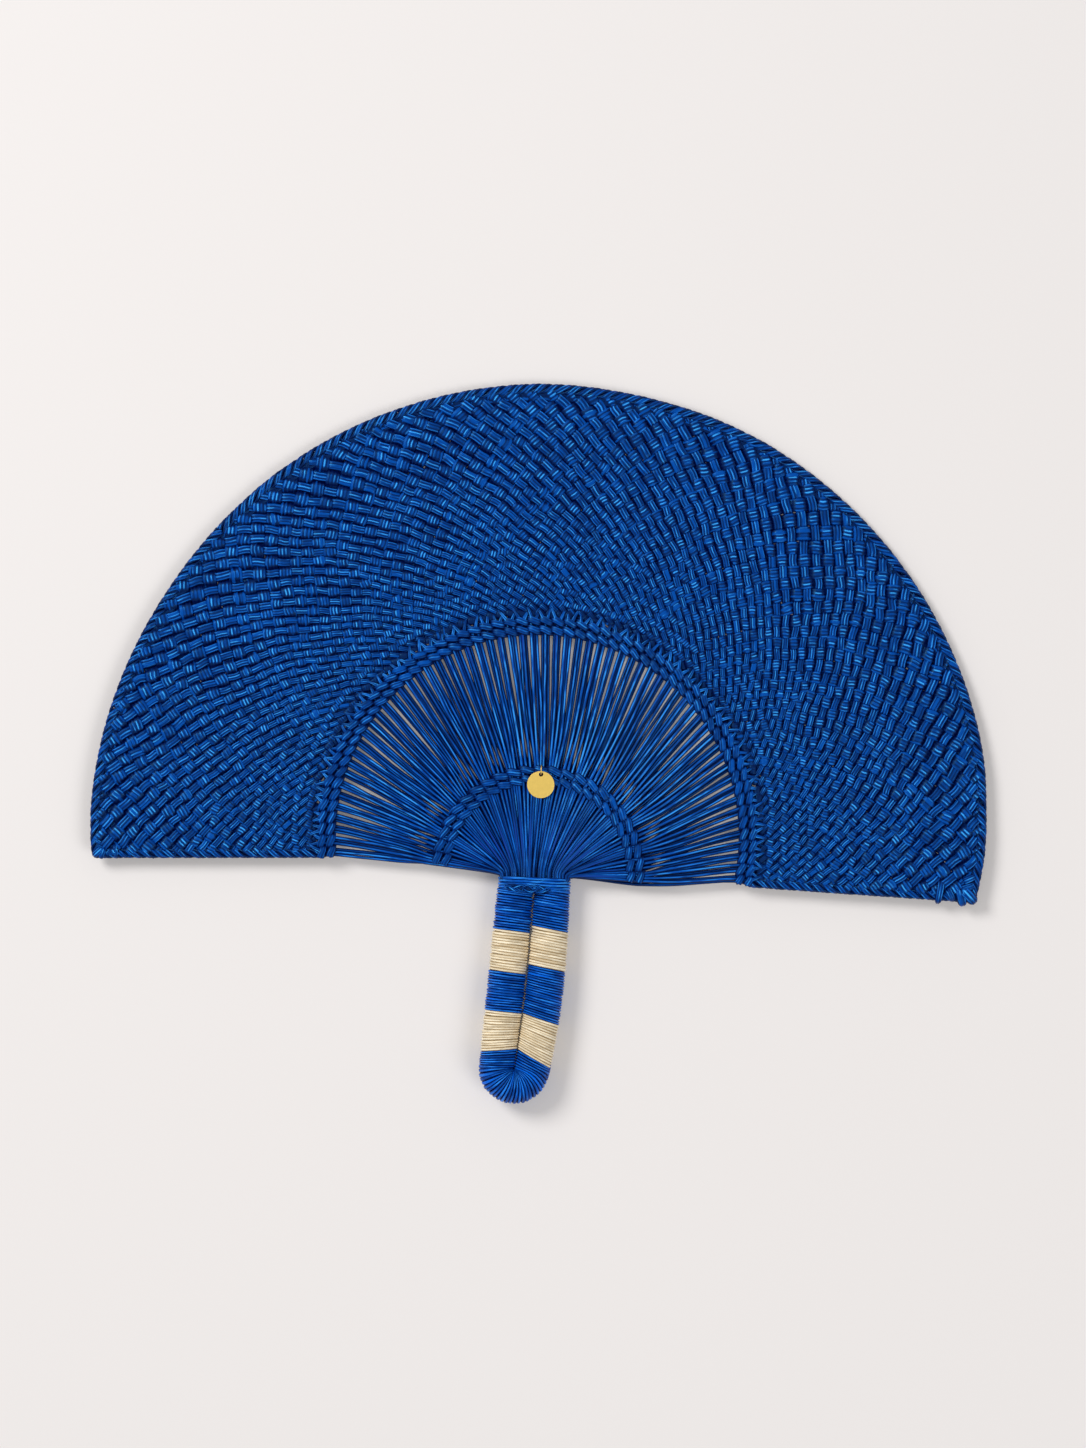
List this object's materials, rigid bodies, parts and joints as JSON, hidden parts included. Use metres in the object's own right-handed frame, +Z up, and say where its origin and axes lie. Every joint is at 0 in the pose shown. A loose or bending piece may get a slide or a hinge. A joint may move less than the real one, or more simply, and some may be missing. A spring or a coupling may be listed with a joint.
{
  "type": "hand fan",
  "caption": "Hand fan of blue raffia: a woven half-round blade on open spokes with twined bands, a looped handle wrapped in blue and natural raffia, and a small bare brass tag on a wire ring.",
  "frame": {"origin": "centre of the fan's outline, on the surface that the fan lies on", "axes": "+X across the blade, from its left corner to its right one, +Y from the handle to the crown of the rim, +Z up, out of the front face"},
  "size_m": [0.4006, 0.3206, 0.0175],
  "materials": {
    "dyed_raffia": "satin",
    "natural_raffia": "satin",
    "brass": "polished"
  },
  "bodies": {
    "fan": {"rim_braid": "dyed_raffia", "selvedge_left": "dyed_raffia", "selvedge_right": "dyed_raffia", "corner_knot_left": "dyed_raffia", "corner_knot_right": "dyed_raffia", "woven_blade": "dyed_raffia", "spoke_bundle_01": "dyed_raffia", "spoke_bundle_02": "dyed_raffia", "spoke_bundle_03": "dyed_raffia", "spoke_bundle_04": "dyed_raffia", "spoke_bundle_05": "dyed_raffia", "spoke_bundle_06": "dyed_raffia", "spoke_bundle_07": "dyed_raffia", "spoke_bundle_08": "dyed_raffia", "spoke_bundle_09": "dyed_raffia", "spoke_bundle_10": "dyed_raffia", "spoke_bundle_11": "dyed_raffia", "spoke_bundle_12": "dyed_raffia", "spoke_bundle_13": "dyed_raffia", "spoke_bundle_14": "dyed_raffia", "spoke_bundle_15": "dyed_raffia", "spoke_bundle_16": "dyed_raffia", "spoke_bundle_17": "dyed_raffia", "spoke_bundle_18": "dyed_raffia", "spoke_bundle_19": "dyed_raffia", "spoke_bundle_20": "dyed_raffia", "spoke_bundle_21": "dyed_raffia", "spoke_bundle_22": "dyed_raffia", "spoke_bundle_23": "dyed_raffia", "spoke_bundle_24": "dyed_raffia", "inner_twining_upper": "dyed_raffia", "inner_twining_lower": "dyed_raffia", "outer_twining_upper": "dyed_raffia", "outer_twining_lower": "dyed_raffia", "handle_core": "natural_raffia", "wrap_left_blue_upper": "dyed_raffia", "wrap_left_natural_upper": "natural_raffia", "wrap_left_blue_lower": "dyed_raffia", "wrap_left_natural_lower": "natural_raffia", "wrap_right_blue_upper": "dyed_raffia", "wrap_right_natural_upper": "natural_raffia", "wrap_right_blue_lower": "dyed_raffia", "wrap_right_natural_lower": "natural_raffia", "wrap_bend_blue": "dyed_raffia", "neck_binding": "dyed_raffia", "neck_lashing": "dyed_raffia"},
    "ring": {"jump_ring": "brass"},
    "tag": {"tag_disc": "brass"}
  },
  "joints": [
    {"name": "jump_ring_turn", "type": "hinge", "parent": "fan", "child": "ring", "pos_m": [-0.00184, -0.0117, 0.00889], "axis": [-0.9998, -0.0207, 0.0005], "range_deg": [0, 100]},
    {"name": "tag_swing", "type": "hinge", "parent": "ring", "child": "tag", "pos_m": [-0.0018, -0.0136, 0.01], "axis": [-0.9998, -0.0207, 0.0005], "range_deg": [0, 45]}
  ]
}
